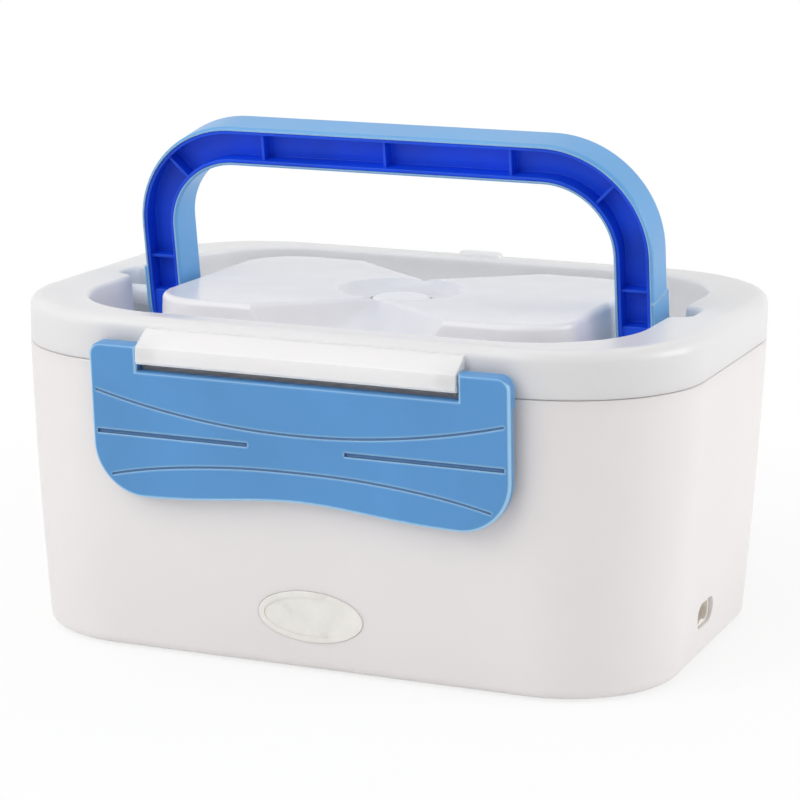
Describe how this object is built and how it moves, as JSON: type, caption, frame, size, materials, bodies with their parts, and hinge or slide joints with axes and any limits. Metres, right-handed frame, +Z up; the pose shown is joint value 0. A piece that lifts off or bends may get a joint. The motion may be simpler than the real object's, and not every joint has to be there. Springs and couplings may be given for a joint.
{
  "type": "electric lunch box",
  "caption": "Rounded electric lunch box: drafted shell with heated tub and tray, sunken lid with cutlery cover and vent plug, folding handle, long clips front and rear",
  "frame": {"origin": "on the floor under the centre of the closed box, at the bottom of the feet", "axes": "+X along the length toward the end with the power inlet, -Y the front with the lamp window, +Z up"},
  "size_m": [0.238, 0.185, 0.1737],
  "materials": {
    "shell_white": "milky white satin plastic",
    "rubber_grey": "soft grey rubber",
    "screw_steel": "zinc-plated steel",
    "tub_plastic": "heat-proof white plastic",
    "plate_aluminium": "satin aluminium",
    "gasket_silicone": "translucent white silicone",
    "heater_ceramic": "polyimide film over ceramic",
    "pad_fibre": "woven glass fibre",
    "clamp_steel": "plain spring steel",
    "thermostat_body": "black phenolic",
    "fuse_body": "coated metal case",
    "wire_sleeve": "silicone wire insulation",
    "inlet_black": "black moulded plastic",
    "pin_brass": "nickel-plated brass",
    "window_smoke": "clear greyish plastic",
    "board_green": "printed board",
    "lamp_red": "red lamp lens",
    "tray_plastic": "food-safe white plastic",
    "lid_white": "satin white plastic",
    "liner_white": "white plastic",
    "seal_silicone": "white silicone",
    "cover_white": "glossy white plastic",
    "plug_white": "white silicone",
    "spoon_plastic": "white plastic",
    "handle_blue": "glossy light blue plastic",
    "inlay_blue": "dark blue plastic",
    "clip_blue": "satin light blue plastic",
    "clip_pin_steel": "polished steel"
  },
  "bodies": {
    "base": {"outer_shell": "shell_white", "feet": "rubber_grey", "base_screws": "screw_steel", "inner_tub": "tub_plastic", "heating_plate": "plate_aluminium", "plate_gasket": "gasket_silicone", "ptc_heater": "heater_ceramic", "insulation_pad": "pad_fibre", "heater_clamp": "clamp_steel", "clamp_screws": "screw_steel", "thermostat": "thermostat_body", "thermal_fuse": "fuse_body", "lead_wires": "wire_sleeve", "power_inlet": "inlet_black", "inlet_pins": "pin_brass", "indicator_window": "window_smoke", "lamp_board": "board_green", "indicator_lamp": "lamp_red"},
    "food_tray": {"food_tray": "tray_plastic"},
    "lid": {"lid_shell": "lid_white", "seal_carrier": "liner_white", "lid_seal": "seal_silicone", "lid_liner": "liner_white"},
    "handle": {"handle_frame": "handle_blue", "handle_inlay": "inlay_blue"},
    "front_clip": {"front_clip": "clip_blue", "front_clip_pins": "clip_pin_steel"},
    "rear_clip": {"rear_clip": "clip_blue", "rear_clip_pins": "clip_pin_steel"},
    "spoon_cover": {"spoon_cover": "cover_white"},
    "spoon": {"spoon": "spoon_plastic"},
    "vent_plug": {"vent_plug": "plug_white"}
  },
  "joints": [
    {"name": "tray_lift", "type": "slide", "parent": "base", "child": "food_tray", "axis": [0, 0, 1], "range_m": [0, 0.08]},
    {"name": "lid_lift", "type": "slide", "parent": "food_tray", "child": "lid", "axis": [0, 0, 1], "range_m": [0, 0.06]},
    {"name": "handle_fold", "type": "hinge", "parent": "lid", "child": "handle", "pos_m": [0, 0, 0.107], "axis": [1, 0, 0], "range_deg": [-99.84, 80.16]},
    {"name": "front_clip_hinge", "type": "hinge", "parent": "lid", "child": "front_clip", "pos_m": [0, -0.0894, 0.1055], "axis": [-1, 0, 0], "range_deg": [-2.2, 110]},
    {"name": "rear_clip_hinge", "type": "hinge", "parent": "lid", "child": "rear_clip", "pos_m": [0, 0.0894, 0.1055], "axis": [1, 0, 0], "range_deg": [-2.2, 110]},
    {"name": "spoon_lift", "type": "slide", "parent": "lid", "child": "spoon", "axis": [0, 0, 1], "range_m": [0, 0.015]},
    {"name": "cover_lift", "type": "slide", "parent": "spoon", "child": "spoon_cover", "axis": [0, 0, 1], "range_m": [0, 0.015]},
    {"name": "vent_plug_pull", "type": "slide", "parent": "lid", "child": "vent_plug", "axis": [0, 0, 1], "range_m": [0, 0.008]}
  ]
}
